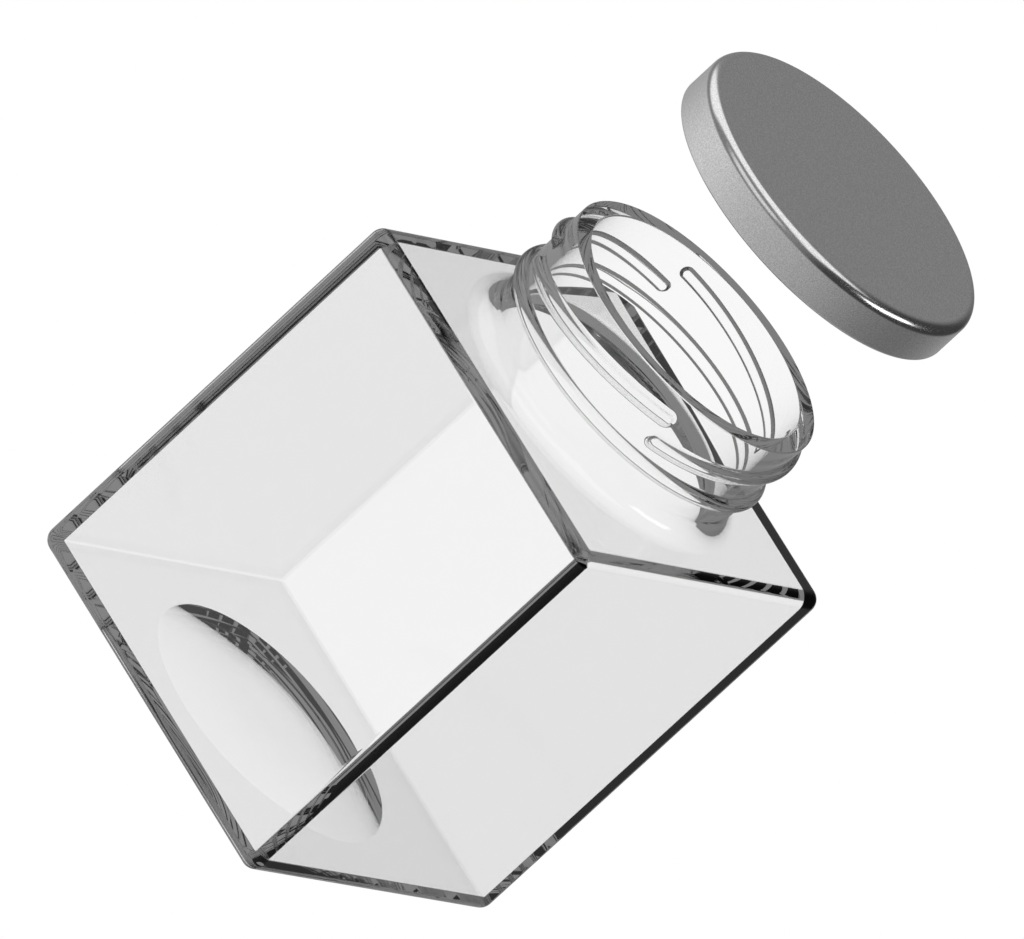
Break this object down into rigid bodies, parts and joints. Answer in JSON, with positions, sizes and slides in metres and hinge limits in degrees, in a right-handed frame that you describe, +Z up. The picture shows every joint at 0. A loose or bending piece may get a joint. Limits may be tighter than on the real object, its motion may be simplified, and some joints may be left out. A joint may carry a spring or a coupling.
{
  "type": "specimen jar",
  "caption": "Square clear glass jar with rounded edges, a round threaded neck and a raised flat metal twist-off lid with a liner.",
  "frame": {"origin": "centre of the square base, on the plane the jar stands on", "axes": "+Z up along the axis of the neck and lid, +X and +Y square to the jar's side walls"},
  "size_m": [0.1032, 0.1032, 0.2028],
  "materials": {
    "clear_glass": "polished clear",
    "satin_metal": "satin, fine grained",
    "liner_board": "matt pulp board",
    "liner_film": "smooth white film"
  },
  "bodies": {
    "jar": {"glass_jar": "clear_glass"},
    "liner": {"liner_backing": "liner_board", "liner_facing": "liner_film"},
    "lid": {"lid_shell": "satin_metal"}
  },
  "joints": [
    {"name": "lid_lift", "type": "slide", "parent": "jar", "child": "liner", "axis": [0, 0, 1], "range_m": [-0.0501, 0]},
    {"name": "lid_turn", "type": "hinge", "parent": "liner", "child": "lid", "pos_m": [0, 0, 0.1969], "axis": [0, 0, 1], "range_deg": [-10, 0]}
  ]
}
